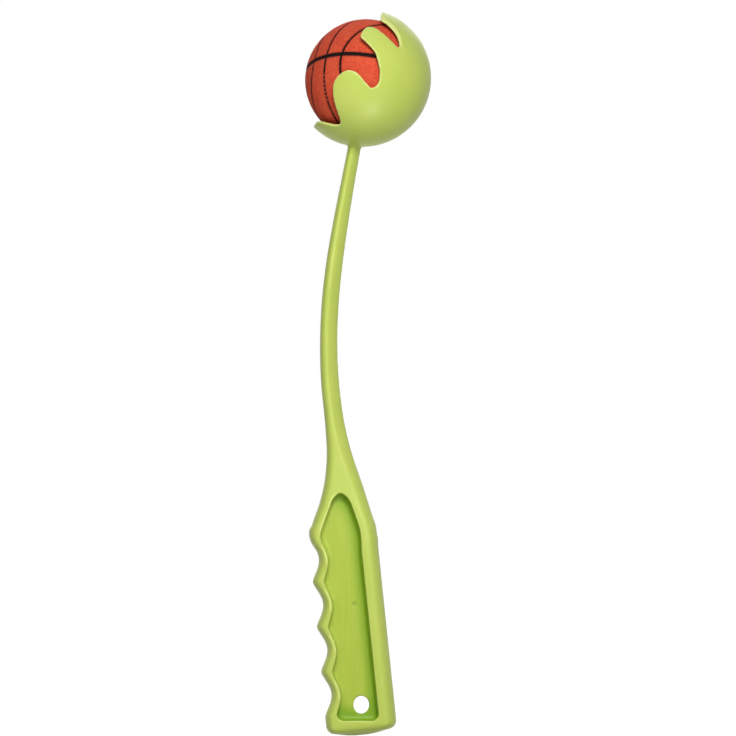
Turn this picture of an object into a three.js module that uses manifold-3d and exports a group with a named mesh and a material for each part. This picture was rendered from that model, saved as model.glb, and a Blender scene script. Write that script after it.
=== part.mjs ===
// Dog ball thrower: a one-piece moulded arm with a finger grip and a fingered cup, and the ball in it.
// Millimetres, +Z up. The origin is the middle of the grip. X runs along the width of the grip,
// finger side at -X, and Y is the direction in which the two halves of the mould opened.

import * as THREE from 'three';
import { mergeVertices } from 'three/addons/utils/BufferGeometryUtils.js';
import Module from 'manifold-3d';

const wasm = await Module();
wasm.setup();

// Ball
const ball_diameter = 64.6;
const cover_thickness = 2.4;
const glue_clearance = 0.3;
const core_wall = 3.5;
const core_joint_clearance = 0.3;
const wide_seam = 1.4;
const fine_seam = 0.8;

// Turn of the ball in the cup, and the layout of its seams
const ball_turn_deg = -43.8;
const ball_tip_deg = -3.1;
const ball_roll_deg = -22.5;
const equator_lean_deg = -7.6;
const oval_long_angle_deg = 72.5;
const oval_short_angle_deg = 60;

// Cup
const cup_wall = 1.5;
const seat_clearance = 0.3;
const cup_slack = 2.5;
const mouth_angle_deg = 150;
const root_fillet = 1.8;

// Arm: the grip, the throat above it and the slim shaft, up to the middle of the ball
const shaft_reach = 288.8;
const shaft_bow = 12.5;
const grip_lean_deg = 5.6;
const grip_top = 48.8;
const butt_drop = 55.9;
const handle_width = 37.5;
const handle_depth = 19;
const shaft_depth = 12.5;
const neck_depth = 11;
const finger_round = 4.4;
const finger_round_share = 0.36;
const palm_round = 6;
const front_strip = 0.3;
const butt_radius = 4.6;
const butt_edge_radius = 4;
const butt_crown = 1.8;

// Finger grooves
const groove_pitch = 23.8;
const groove_depth = 4.4;
const groove_count = 4;
const groove_sharpness_share = 1.45;
const pocket_groove_share = 0.73;

// Pockets on both sides of the grip, with the web between them
const web_thickness = 4;
const finger_rim = 6.1;
const palm_rim = 9;
const butt_rim = 5.9;
const pocket_top = 70.5;
const pocket_top_radius = 6;
const pocket_corner_radius = 4;
const pocket_lip = 0.5;
const pocket_cove = 2.2;
const pocket_draft_deg = 3;
const pocket_palm_draft_deg = 14;
const pocket_palm_angle_deg = 37;

// Hanging hole through the web, beside the arm's middle line
const hole_width = 8.3;
const hole_length = 9.3;
const hole_height = 14.3;
const hole_offset = 1;

// One overrun for every cutter that has to pass a face
const overrun = 3;

// Height as a share of shaft_reach, sideways place as a share of shaft_bow, and
// width as a share of handle_width, from the straight part of the grip to the middle of the cup
const arm_shares = [
  [0.140, -0.345, 0.970],
  [0.163, -0.386, 0.982],
  [0.180, -0.362, 0.926],
  [0.194, -0.359, 0.858],
  [0.223, -0.357, 0.703],
  [0.253, -0.388, 0.570],
  [0.286, -0.466, 0.444],
  [0.322, -0.578, 0.342],
  [0.377, -0.760, 0.273],
  [0.450, -0.946, 0.257],
  [0.524, -0.996, 0.249],
  [0.597, -0.923, 0.245],
  [0.670, -0.738, 0.236],
  [0.743, -0.475, 0.217],
  [0.817, -0.169, 0.196],
  [0.872, 0.068, 0.187],
  [1.000, 0.584, 0.182],
];
const throat_end_share = 0.377;

// Gaps between the fingers on the viewer's side; the far side mirrors them. Each point is the turn
// from the top finger as a share of half a turn, and the height along the mouth axis as a share of
// the cup's outer radius. A gap is open towards the mouth, between its first and last points.
const upper_gap_shares = [
  [0.000, 0.222], [0.080, 0.220], [0.138, 0.204], [0.158, 0.165], [0.164, 0.096], [0.177, 0.018],
  [0.192, -0.064], [0.208, -0.134], [0.233, -0.205], [0.262, -0.255], [0.273, -0.215],
  [0.270, -0.165], [0.254, 0.013], [0.239, 0.194], [0.244, 0.266], [0.260, 0.311], [0.286, 0.329],
];
const middle_gap_shares = [
  [0.286, 0.329], [0.318, 0.323], [0.331, 0.280], [0.343, 0.184], [0.363, 0.038], [0.379, -0.029],
  [0.428, -0.172], [0.452, -0.216], [0.477, -0.248], [0.498, -0.252], [0.520, -0.217],
  [0.523, -0.175], [0.505, -0.014], [0.496, 0.069], [0.495, 0.140], [0.503, 0.212],
  [0.520, 0.268], [0.548, 0.305], [0.579, 0.321],
];
const lower_gap_shares = [
  [0.579, 0.321], [0.610, 0.301], [0.634, 0.263], [0.663, 0.203], [0.723, 0.028], [0.750, -0.040],
  [0.775, -0.060], [0.786, -0.044], [0.802, 0.012], [0.837, 0.172], [0.871, 0.243],
  [0.900, 0.254], [1.000, 0.256],
];
const gap_cutter_top_share = 0.6;
const gap_cutter_spread_share = 0.045;
const gap_cutter_reach_share = 1.8;

// Facets
const cup_facets = 44;
const ball_facets = 32;
const core_facets = 20;
const cone_facets = 48;
const hole_facets = 24;
const section_steps = 10;
const crown_steps = 3;
const groove_steps = 8;
const throat_rings = 10;
const shaft_rings = 14;
const round_steps = 4;
const lip_steps = 2;
const pocket_rings = 32;
const search_steps = 40;

const radians = THREE.MathUtils.degToRad;
const ball_radius = ball_diameter / 2;
const cup_inner_radius = ball_radius + seat_clearance + cup_slack;
const cup_outer_radius = cup_inner_radius + cup_wall;

const mouth_direction = new THREE.Vector3(
  Math.cos(radians(mouth_angle_deg)), 0, Math.sin(radians(mouth_angle_deg)));
const top_finger_direction = new THREE.Vector3(mouth_direction.z, 0, -mouth_direction.x);
const near_direction = new THREE.Vector3(0, -1, 0);
const arm_end_share = arm_shares[arm_shares.length - 1];
const ball_centre = new THREE.Vector3(shaft_bow * arm_end_share[1], 0, shaft_reach * arm_end_share[0]);
const cup_centre = ball_centre.clone().addScaledVector(mouth_direction, cup_slack);

// Closed geometry to solid, turned inside out first if its faces point inwards
function solid(geometry) {
  const bare = geometry.clone();
  bare.deleteAttribute('normal');
  bare.deleteAttribute('uv');
  const merged = mergeVertices(bare);
  const points = merged.getAttribute('position');
  const index = Uint32Array.from(merged.getIndex().array);
  const a = new THREE.Vector3();
  const b = new THREE.Vector3();
  const c = new THREE.Vector3();
  let volume = 0;
  for (let i = 0; i < index.length; i += 3) {
    a.fromBufferAttribute(points, index[i]);
    b.fromBufferAttribute(points, index[i + 1]);
    c.fromBufferAttribute(points, index[i + 2]);
    volume += a.dot(b.cross(c));
  }
  if (volume < 0) {
    index.reverse();
  }
  const vertProperties = Float32Array.from(points.array);
  return new wasm.Manifold(new wasm.Mesh({ numProp: 3, vertProperties, triVerts: index }));
}

// Solid back to a geometry
function geometry_of(body) {
  const mesh = body.getMesh();
  const geometry = new THREE.BufferGeometry();
  geometry.setAttribute('position', new THREE.BufferAttribute(mesh.vertProperties, 3));
  geometry.setIndex(new THREE.BufferAttribute(mesh.triVerts, 1));
  geometry.computeVertexNormals();
  return geometry;
}

// Skin over rings of as many points each, closed at both ends on a middle point
function loft(rings, first_middle, last_middle) {
  const count = rings[0].length;
  const points = rings.flat();
  points.push(first_middle, last_middle);
  const first = points.length - 2;
  const last = points.length - 1;
  const index = [];
  for (let j = 0; j < count; j += 1) {
    const next = (j + 1) % count;
    for (let i = 0; i + 1 < rings.length; i += 1) {
      const low = i * count;
      const high = low + count;
      index.push(low + j, low + next, high + next, low + j, high + next, high + j);
    }
    const top = (rings.length - 1) * count;
    index.push(first, next, j, last, top + j, top + next);
  }
  const geometry = new THREE.BufferGeometry();
  geometry.setFromPoints(points);
  geometry.setIndex(index);
  return geometry;
}

// The arm's middle line and width over the throat and shaft, as one curve: x holds the height,
// y the sideways place and z the width
const arm_curve = new THREE.CatmullRomCurve3(arm_shares.map((row) => new THREE.Vector3(
  row[0] * shaft_reach, row[1] * shaft_bow, row[2] * handle_width)), false, 'centripetal');

// Place, direction and width of the arm at a height; the grip is straight and widens to the butt
function arm_at(height) {
  const [end_share, place_share, width_share] = arm_shares[0];
  const grip_end = end_share * shaft_reach;
  if (height <= grip_end) {
    const slope = -Math.tan(radians(grip_lean_deg));
    const along = (height + butt_drop) / (grip_end + butt_drop);
    const width = handle_width * THREE.MathUtils.lerp(1, width_share, along);
    return { x: place_share * shaft_bow + slope * (height - grip_end), slope, width };
  }
  let low = 0;
  let high = 1;
  for (let i = 0; i < search_steps; i += 1) {
    const middle = (low + high) / 2;
    if (arm_curve.getPoint(middle).x < height) {
      low = middle;
    } else {
      high = middle;
    }
  }
  const place = arm_curve.getPoint(low);
  const tangent = arm_curve.getTangent(low);
  return { x: place.y, slope: tangent.y / tangent.x, width: place.z };
}

// Depth of the arm in Y at a height
function arm_depth(height) {
  const throat = THREE.MathUtils.smoothstep(height, grip_top, throat_end_share * shaft_reach);
  const neck = THREE.MathUtils.smoothstep(height, throat_end_share * shaft_reach, shaft_reach);
  return THREE.MathUtils.lerp(handle_depth, THREE.MathUtils.lerp(shaft_depth, neck_depth, neck), throat);
}

// Heights of the crests between the finger grooves, from the top one down
const crest_heights = [];
for (let k = 0; k <= groove_count; k += 1) {
  crest_heights.push(grip_top - k * groove_pitch);
}

// How deep the grooves cut into the finger side at a height
function groove_cut(height) {
  for (let k = 0; k < groove_count; k += 1) {
    const upper = crest_heights[k];
    const lower = crest_heights[k + 1];
    if (height < upper && height > lower) {
      const along = (upper - height) / (upper - lower);
      return groove_depth * Math.sin(Math.PI * along) ** groove_sharpness_share;
    }
  }
  return 0;
}

// One section of the arm, square to its middle line: a half oval on the finger side, a larger one
// on the palm side, and flat faces between them
function arm_ring(height, inset, depth_inset) {
  const arm = arm_at(height);
  const tilt = Math.hypot(1, arm.slope);
  const left = -arm.width / 2 + inset + groove_cut(height);
  const right = arm.width / 2 - inset;
  const half_depth = arm_depth(height) / 2 - depth_inset;
  const finger = Math.min(finger_round, finger_round_share * (right - left));
  const palm = Math.min(palm_round, right - left - finger - front_strip);
  const ring = [];
  [[1, right - palm, palm], [-1, left + finger, finger]].forEach(([way, across, radius]) => {
    for (let step = 0; step <= section_steps; step += 1) {
      const angle = (step / section_steps - 0.5) * Math.PI;
      const side = across + way * radius * Math.cos(angle);
      const y = way * half_depth * Math.sin(angle);
      ring.push(new THREE.Vector3(arm.x + side / tilt, y, height - arm.slope * side / tilt));
    }
  });
  return ring;
}

// Inset of a quarter round at a distance from its end
function round_inset(radius, distance) {
  const rest = Math.max(radius - distance, 0);
  return radius - Math.sqrt(radius * radius - rest * rest);
}

// The whole arm as one loft, from the butt to just inside the cup's wall
function arm() {
  const rings = [];
  const butt_height = -butt_drop;
  const middle = new THREE.Vector3(arm_at(butt_height).x, 0, butt_height);
  for (let i = 1; i < crown_steps; i += 1) {
    const share = i / crown_steps;
    const crown = new THREE.Vector3(0, 0, -butt_crown * (1 - share * share));
    rings.push(arm_ring(butt_height, butt_radius, butt_edge_radius).map(
      (point) => point.lerp(middle, 1 - share).add(crown)));
  }
  for (let i = 0; i <= round_steps; i += 1) {
    const distance = butt_radius * (1 - Math.cos(i / round_steps * Math.PI / 2));
    rings.push(arm_ring(butt_height + distance, round_inset(butt_radius, distance),
      round_inset(butt_edge_radius, Math.min(distance, butt_edge_radius))));
  }
  for (let k = groove_count; k > 0; k -= 1) {
    for (let i = 0; i < groove_steps; i += 1) {
      rings.push(arm_ring(THREE.MathUtils.lerp(
        crest_heights[k], crest_heights[k - 1], i / groove_steps), 0, 0));
    }
  }
  const throat_end = throat_end_share * shaft_reach;
  for (let i = 0; i < throat_rings; i += 1) {
    rings.push(arm_ring(THREE.MathUtils.lerp(grip_top, throat_end, i / throat_rings), 0, 0));
  }
  const neck = arm_at(cup_centre.z - cup_outer_radius);
  const buried = Math.abs(neck.x - cup_centre.x) + neck.width / 2 + root_fillet;
  const root = cup_centre.z - Math.sqrt(cup_outer_radius ** 2 - buried ** 2);
  const shaft_end = root - root_fillet;
  for (let i = 0; i < shaft_rings; i += 1) {
    rings.push(arm_ring(THREE.MathUtils.lerp(throat_end, shaft_end, i / shaft_rings), 0, 0));
  }
  for (let i = 0; i <= round_steps; i += 1) {
    const distance = root_fillet * Math.sin(i / round_steps * Math.PI / 2);
    const flare = round_inset(root_fillet, root_fillet - distance);
    rings.push(arm_ring(shaft_end + distance, -flare, -flare));
  }
  const inside = root + cup_wall + root_fillet;
  rings.push(arm_ring(inside, -root_fillet, -root_fillet));
  return solid(loft(rings, middle.clone().add(new THREE.Vector3(0, 0, -butt_crown)),
    new THREE.Vector3(arm_at(inside).x, 0, inside)));
}

// Faces of a flat cap, wound as its outline runs
function cap_faces(outline) {
  const turn = Math.sign(THREE.ShapeUtils.area(outline));
  return THREE.ShapeUtils.triangulateShape(outline, []).map(([a, b, c]) => (
    Math.sign(THREE.ShapeUtils.area([outline[a], outline[b], outline[c]])) === turn
      ? [a, b, c] : [a, c, b]));
}

// Point of the cup's outline on a cone from the middle of the cup
function cup_point(turn_share, height_share) {
  const turn = turn_share * Math.PI;
  const across = Math.sqrt(1 - height_share * height_share);
  return new THREE.Vector3()
    .addScaledVector(mouth_direction, height_share)
    .addScaledVector(top_finger_direction, across * Math.cos(turn))
    .addScaledVector(near_direction, across * Math.sin(turn))
    .multiplyScalar(gap_cutter_reach_share * cup_outer_radius);
}

// Cone-shaped cutter for one gap between two fingers, mirrored to the far side by side = -1
function gap_cutter(shares, side) {
  const edge = new THREE.SplineCurve(shares.map((pair) => new THREE.Vector2(...pair)));
  const outline = edge.getPoints(2 * (shares.length - 1));
  const first = shares[0];
  const last = shares[shares.length - 1];
  outline.push(new THREE.Vector2(last[0] + gap_cutter_spread_share, gap_cutter_top_share));
  outline.push(new THREE.Vector2(first[0] - gap_cutter_spread_share, gap_cutter_top_share));
  const points = outline.map((pair) => cup_point(pair.x, pair.y));
  points.forEach((point) => {
    point.y *= side;
    point.add(cup_centre);
  });
  points.push(cup_centre);
  const count = outline.length;
  const index = cap_faces(outline).flat();
  for (let i = 0; i < count; i += 1) {
    index.push(count, (i + 1) % count, i);
  }
  const geometry = new THREE.BufferGeometry();
  geometry.setFromPoints(points);
  geometry.setIndex(index);
  return solid(geometry);
}

// Sphere of the cup, its poles on the mouth axis
function cup_sphere(radius) {
  const geometry = new THREE.SphereGeometry(radius, cup_facets, cup_facets / 2);
  geometry.applyQuaternion(new THREE.Quaternion().setFromUnitVectors(
    new THREE.Vector3(0, 1, 0), mouth_direction));
  geometry.translate(cup_centre.x, cup_centre.y, cup_centre.z);
  return solid(geometry);
}

// Block that takes off everything past the tips of the fingers
function mouth_cutter() {
  const size = 4 * cup_outer_radius;
  const tips = Math.max(...upper_gap_shares.map((pair) => pair[1])) * cup_outer_radius;
  const geometry = new THREE.BoxGeometry(size, size, size);
  geometry.translate(0, tips + size / 2, 0);
  geometry.applyQuaternion(new THREE.Quaternion().setFromUnitVectors(
    new THREE.Vector3(0, 1, 0), mouth_direction));
  geometry.translate(cup_centre.x, cup_centre.y, cup_centre.z);
  return solid(geometry);
}

// Outline of a pocket at the face, in the XZ plane, up the back, round the top and down the grooves
function pocket_outline() {
  const floor_height = butt_rim - butt_drop;
  const corner_height = floor_height + pocket_corner_radius;
  const arc_height = pocket_top - pocket_top_radius;
  const sides_at = (height) => {
    const here = arm_at(height);
    const half_width = here.width / 2 * Math.hypot(1, here.slope);
    const corner_inset = round_inset(pocket_corner_radius, height - floor_height);
    const groove = pocket_groove_share * groove_cut(height - here.slope * half_width);
    const left = here.x - half_width + finger_rim + groove + corner_inset;
    const right = here.x + half_width - palm_rim - corner_inset;
    const rise = Math.max(height - arc_height, 0) / pocket_top_radius;
    const half_gap = (right - left) / 2 * Math.sqrt(Math.max(1 - rise * rise, 0));
    return [(left + right) / 2 - half_gap, (left + right) / 2 + half_gap];
  };
  const heights = [];
  for (let i = 0; i < round_steps; i += 1) {
    const angle = i / round_steps * Math.PI / 2;
    heights.push(corner_height - pocket_corner_radius * Math.cos(angle));
  }
  for (let i = 0; i < pocket_rings; i += 1) {
    heights.push(THREE.MathUtils.lerp(corner_height, arc_height, i / pocket_rings));
  }
  for (let i = 0; i < 2 * round_steps; i += 1) {
    const angle = i / round_steps * Math.PI / 4;
    heights.push(arc_height + pocket_top_radius * Math.sin(angle));
  }
  const right = heights.map((height) => new THREE.Vector2(sides_at(height)[1], height));
  const left = heights.map((height) => new THREE.Vector2(sides_at(height)[0], height));
  const top = new THREE.Vector2(sides_at(pocket_top)[0], pocket_top);
  return [...right, top, ...left.reverse()];
}

// Cutter of one pocket: rounded lip, drafted wall and cove down to the web, on the side given.
// The wall leans out furthest at the top of the palm side, where the mould was drawn off.
function pocket_cutter(side) {
  const outline = pocket_outline();
  const count = outline.length;
  const towards_palm = new THREE.Vector2(
    Math.cos(radians(pocket_palm_angle_deg)), Math.sin(radians(pocket_palm_angle_deg)));
  const inward = outline.map((point, i) => {
    const along = outline[(i + 1) % count].clone().sub(outline[(i + count - 1) % count]).normalize();
    return new THREE.Vector2(-along.y, along.x);
  });
  const drafts = inward.map((direction) => THREE.MathUtils.lerp(
    Math.tan(radians(pocket_draft_deg)),
    Math.tan(radians(pocket_palm_draft_deg)),
    Math.max(-direction.dot(towards_palm), 0),
  ));
  const face = handle_depth / 2;
  const floor = web_thickness / 2;
  const drafted = face - floor - pocket_lip - pocket_cove;
  const levels = [[face + overrun, -pocket_lip, 0]];
  for (let i = 0; i <= lip_steps; i += 1) {
    const angle = i / lip_steps * Math.PI / 2;
    levels.push([face - pocket_lip * (1 - Math.cos(angle)), -pocket_lip * (1 - Math.sin(angle)), 0]);
  }
  for (let i = 0; i <= round_steps; i += 1) {
    const angle = i / round_steps * Math.PI / 2;
    levels.push([floor + pocket_cove * (1 - Math.sin(angle)),
      pocket_cove * (1 - Math.cos(angle)), drafted]);
  }
  const rings = levels.map(([y, inset, deep]) => outline.map((point, i) => {
    const moved = point.clone().addScaledVector(inward[i], inset + deep * drafts[i]);
    return new THREE.Vector3(moved.x, side * y, moved.y);
  }));
  const points = rings.flat();
  const index = [];
  const floor_ring = (rings.length - 1) * count;
  const tip = (count - 1) / 2;
  for (let right = 0; right < tip; right += 1) {
    const left = count - 1 - right;
    const faces = [[right, right + 1, left]];
    if (right + 1 < tip) {
      faces.push([right + 1, left - 1, left]);
    }
    faces.forEach(([a, b, c]) => {
      index.push(floor_ring + a, floor_ring + b, floor_ring + c, a, c, b);
    });
  }
  for (let i = 0; i + 1 < rings.length; i += 1) {
    for (let j = 0; j < count; j += 1) {
      const next = (j + 1) % count;
      const low = i * count;
      const high = low + count;
      index.push(low + j, low + next, high + next, low + j, high + next, high + j);
    }
  }
  const geometry = new THREE.BufferGeometry();
  geometry.setFromPoints(points);
  geometry.setIndex(index);
  return solid(geometry);
}

// Cutter for the hanging hole, slightly longer than wide
function hole_cutter() {
  const geometry = new THREE.CylinderGeometry(
    hole_width / 2, hole_width / 2, web_thickness + 2 * overrun, hole_facets);
  geometry.scale(1, 1, hole_length / hole_width);
  const height = hole_height - butt_drop;
  geometry.translate(arm_at(height).x + hole_offset, 0, height);
  return solid(geometry);
}

// The thrower, one moulding: cup and arm joined, then the hollow, gaps, pockets and hole cut
function thrower() {
  let body = cup_sphere(cup_outer_radius).add(arm());
  body = body.subtract(cup_sphere(cup_inner_radius)).subtract(mouth_cutter());
  [upper_gap_shares, middle_gap_shares, lower_gap_shares].forEach((shares) => {
    body = body.subtract(gap_cutter(shares, 1)).subtract(gap_cutter(shares, -1));
  });
  return body.subtract(pocket_cutter(1)).subtract(pocket_cutter(-1)).subtract(hole_cutter());
}

// Sphere about the ball's own middle
function ball_sphere(radius, facets) {
  return solid(new THREE.SphereGeometry(radius, facets, facets / 2));
}

// Half space past a plane at a distance from the middle of the ball
function half_space(normal, distance) {
  const size = 4 * ball_radius;
  const geometry = new THREE.BoxGeometry(size, size, size);
  geometry.translate(0, distance + size / 2, 0);
  geometry.applyQuaternion(new THREE.Quaternion().setFromUnitVectors(
    new THREE.Vector3(0, 1, 0), normal));
  return solid(geometry);
}

// Cone with an oval section that marks a side oval, its apex moved along its axis
function oval_cone(side, shift) {
  const length = 2 * ball_radius;
  const geometry = new THREE.ConeGeometry(1, 1, cone_facets);
  geometry.translate(0, -0.5, 0);
  geometry.scale(length * Math.tan(radians(oval_long_angle_deg)), length,
    length * Math.tan(radians(oval_short_angle_deg)));
  geometry.rotateX(Math.PI);
  geometry.rotateZ(-side * Math.PI / 2);
  geometry.translate(side * shift, 0, 0);
  return solid(geometry);
}

const material = (color, roughness) => new THREE.MeshStandardMaterial({ color, roughness, metalness: 0 });
const plastic = material(0xbfd055, 0.42);
const rubber = material(0x16130f, 0.7);
const cover = material(0xd8492c, 0.85);

function piece(name, body, finish) {
  const mesh = new THREE.Mesh(geometry_of(body), finish);
  mesh.name = name;
  return mesh;
}

const model = new THREE.Group();
model.add(piece('thrower', thrower(), plastic));

// The ball, in its own frame: X through the side ovals, Z up, then turned as it lies in the cup
const ball = new THREE.Group();
ball.position.copy(ball_centre);
ball.rotation.set(radians(ball_roll_deg), radians(ball_tip_deg), radians(ball_turn_deg), 'ZYX');
model.add(ball);

const equator = new THREE.Vector3(Math.sin(radians(equator_lean_deg)), 0, Math.cos(radians(equator_lean_deg)));
const cover_inner_radius = ball_radius - cover_thickness;
const core_radius = cover_inner_radius - glue_clearance;
const shell = ball_sphere(ball_radius, ball_facets).subtract(ball_sphere(cover_inner_radius, core_facets));
const core_shell = ball_sphere(core_radius, core_facets)
  .subtract(ball_sphere(core_radius - core_wall, core_facets));

[['upper', 1], ['lower', -1]].forEach(([row_name, row]) => {
  const row_normal = equator.clone().multiplyScalar(row);
  ball.add(piece(`ball_core_${row_name}`,
    core_shell.intersect(half_space(row_normal, core_joint_clearance / 2)), rubber));
  [['right', 1], ['left', -1]].forEach(([side_name, side]) => {
    const quarter = shell.intersect(half_space(row_normal, wide_seam / 2));
    const side_normal = new THREE.Vector3(side, 0, 0);
    ball.add(piece(`cover_band_${side_name}_${row_name}`, quarter
      .intersect(half_space(side_normal, fine_seam / 2))
      .subtract(oval_cone(side, -fine_seam / 2)), cover));
    ball.add(piece(`cover_oval_${side_name}_${row_name}`, quarter
      .intersect(oval_cone(side, fine_seam / 2)), cover));
  });
});

export default model;
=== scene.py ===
"""Dog ball thrower with its fetch ball: fine surfaces, materials, light and camera.

Shapes are worked out in millimetres in the frame of the solids and written to meshes in metres.
"""
import math

import bmesh
import bpy
import numpy as np
from mathutils import Matrix, Vector
from mathutils.geometry import tessellate_polygon


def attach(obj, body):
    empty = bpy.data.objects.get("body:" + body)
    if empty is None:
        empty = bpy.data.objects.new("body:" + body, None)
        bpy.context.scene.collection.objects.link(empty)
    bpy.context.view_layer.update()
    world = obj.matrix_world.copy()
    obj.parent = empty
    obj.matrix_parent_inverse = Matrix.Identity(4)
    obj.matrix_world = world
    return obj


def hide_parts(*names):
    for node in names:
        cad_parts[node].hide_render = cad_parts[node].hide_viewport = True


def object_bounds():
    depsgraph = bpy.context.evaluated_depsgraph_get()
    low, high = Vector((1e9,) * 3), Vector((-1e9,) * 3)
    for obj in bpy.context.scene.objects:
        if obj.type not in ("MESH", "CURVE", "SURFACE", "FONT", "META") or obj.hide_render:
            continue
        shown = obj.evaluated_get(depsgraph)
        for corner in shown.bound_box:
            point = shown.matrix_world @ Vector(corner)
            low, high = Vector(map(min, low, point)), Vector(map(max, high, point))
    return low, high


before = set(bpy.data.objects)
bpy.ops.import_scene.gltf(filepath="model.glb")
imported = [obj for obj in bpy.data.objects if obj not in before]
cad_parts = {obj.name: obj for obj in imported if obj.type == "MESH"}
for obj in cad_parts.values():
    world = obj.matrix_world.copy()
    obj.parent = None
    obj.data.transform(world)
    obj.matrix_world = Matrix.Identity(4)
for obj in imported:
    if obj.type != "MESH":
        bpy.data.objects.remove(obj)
cad_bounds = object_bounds()

# Metres in a millimetre, and distances in millimetres that count as none
MM = 0.001
WELD = 0.0001
TINY = 1e-9

# Sizes of the ball and the layout of its seams
BALL_RADIUS = 32.3
COVER_THICKNESS = 2.4
GLUE_CLEARANCE = 0.3
CORE_WALL = 3.5
CORE_JOINT_CLEARANCE = 0.3
WIDE_SEAM = 1.4
FINE_SEAM = 0.8
WIDE_INK = 0.2
SEAM_DEPTH = 0.8
RIB_CLEARANCE = 0.05
RUBBER_CREASE = math.radians(40)
BALL_TURN = math.radians(-43.8)
BALL_TIP = math.radians(-3.1)
BALL_ROLL = math.radians(-22.5)
EQUATOR_LEAN = math.radians(-7.6)
OVAL_LONG_ANGLE = math.radians(72.5)
OVAL_SHORT_ANGLE = math.radians(60)

# Thread over the sewn stretch of the middle seam
STITCH_COUNT = 7
STITCH_PITCH = 2.2
STITCH_START = math.radians(-42)
STITCH_REACH = 0.9
STITCH_RADIUS = 0.42
STITCH_FLATNESS = 0.6
STITCH_SINK = 0.12
STITCH_DIP = 0.5
STITCH_END_SHARE = 0.02

# Sizes of the cup
CUP_WALL = 1.5
SEAT_CLEARANCE = 0.3
CUP_SLACK = 2.5
MOUTH_ANGLE = math.radians(150)
ROOT_FILLET = 1.8
CUP_INNER_RADIUS = BALL_RADIUS + SEAT_CLEARANCE + CUP_SLACK
CUP_OUTER_RADIUS = CUP_INNER_RADIUS + CUP_WALL

# Sizes of the arm
SHAFT_REACH = 288.8
SHAFT_BOW = 12.5
GRIP_LEAN = math.radians(5.6)
GRIP_TOP = 48.8
BUTT_DROP = 55.9
HANDLE_WIDTH = 37.5
HANDLE_DEPTH = 19
SHAFT_DEPTH = 12.5
NECK_DEPTH = 11
FINGER_ROUND = 4.4
FINGER_ROUND_SHARE = 0.36
BACK_ROUND = 6
OVAL_FULLNESS = 2
GRIP_FULLNESS = 1.85
SHAFT_FULLNESS = 1.3
FRONT_STRIP = 0.3
BUTT_EDGE_RADIUS = 4
BUTT_RADIUS = 4.6
BUTT_CROWN = 1.8
CROWN_SHARES = (0.25, 0.5, 0.75)

# Finger grooves
GROOVE_PITCH = 23.8
GROOVE_DEPTH = 4.4
GROOVE_COUNT = 4
GROOVE_SHARPNESS_SHARE = 1.45
POCKET_GROOVE_SHARE = 0.73

# Pockets, web and hanging hole
WEB_THICKNESS = 4
FINGER_RIM = 6.1
BACK_RIM = 9
BUTT_RIM = 5.9
POCKET_TOP = 70.5
POCKET_TOP_RADIUS = 6
POCKET_CORNER_RADIUS = 4
POCKET_LIP = 0.5
POCKET_COVE = 2.2
POCKET_DRAFT = math.radians(3)
POCKET_BACK_DRAFT = math.radians(14)
POCKET_BACK_ANGLE = math.radians(37)
HOLE_WIDTH = 8.3
HOLE_LENGTH = 9.3
HOLE_HEIGHT = 14.3
HOLE_OFFSET = 1
OVERRUN = 3

# Arm: height, sideways place and width as shares of the reach, the bow and the handle's width
ARM_SHARES = [
    (0.140, -0.345, 0.970),
    (0.163, -0.386, 0.982),
    (0.180, -0.362, 0.926),
    (0.194, -0.359, 0.858),
    (0.223, -0.357, 0.703),
    (0.253, -0.388, 0.570),
    (0.286, -0.466, 0.444),
    (0.322, -0.578, 0.342),
    (0.377, -0.760, 0.273),
    (0.450, -0.946, 0.257),
    (0.524, -0.996, 0.249),
    (0.597, -0.923, 0.245),
    (0.670, -0.738, 0.236),
    (0.743, -0.475, 0.217),
    (0.817, -0.169, 0.196),
    (0.872, 0.068, 0.187),
    (1.000, 0.584, 0.182),
]
THROAT_END_SHARE = 0.377

# Gaps between the fingers: turn from the top finger and height along the mouth, as shares
GAP_SHARES = [
    [
        (0.000, 0.222), (0.080, 0.220), (0.138, 0.204), (0.158, 0.165), (0.164, 0.096),
        (0.177, 0.018), (0.192, -0.064), (0.208, -0.134), (0.233, -0.205), (0.262, -0.255),
        (0.273, -0.215), (0.270, -0.165), (0.254, 0.013), (0.239, 0.194), (0.244, 0.266),
        (0.260, 0.311), (0.286, 0.329),
    ],
    [
        (0.286, 0.329), (0.318, 0.323), (0.331, 0.280), (0.343, 0.184), (0.363, 0.038),
        (0.379, -0.029), (0.428, -0.172), (0.452, -0.216), (0.477, -0.248), (0.498, -0.252),
        (0.520, -0.217), (0.523, -0.175), (0.505, -0.014), (0.496, 0.069), (0.495, 0.140),
        (0.503, 0.212), (0.520, 0.268), (0.548, 0.305), (0.579, 0.321),
    ],
    [
        (0.579, 0.321), (0.610, 0.301), (0.634, 0.263), (0.663, 0.203), (0.723, 0.028),
        (0.750, -0.040), (0.775, -0.060), (0.786, -0.044), (0.802, 0.012), (0.837, 0.172),
        (0.871, 0.243), (0.900, 0.254), (1.000, 0.256),
    ],
]
TIP_SHARE = 0.329
GAP_TOP_SHARE = 0.6
GAP_SPREAD_SHARE = 0.045
GAP_REACH_SHARE = 1.8

# Flat along the inner edge of the top finger, from its tip to a point below the gap
FLAT_HEAD = (0.125, 0.270)
FLAT_EDGE = GAP_SHARES[0][2:9]
FLAT_TAIL = (0.290, -0.345)
FLAT_WIDTH = 3.5
FLAT_DEPTH = 1.1
FLAT_TAPER = 0.35
FLAT_END_SHARE = 0.02
FLAT_OVERRUN_SHARE = 1.4
FLAT_RISE_SHARE = 1.15

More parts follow.
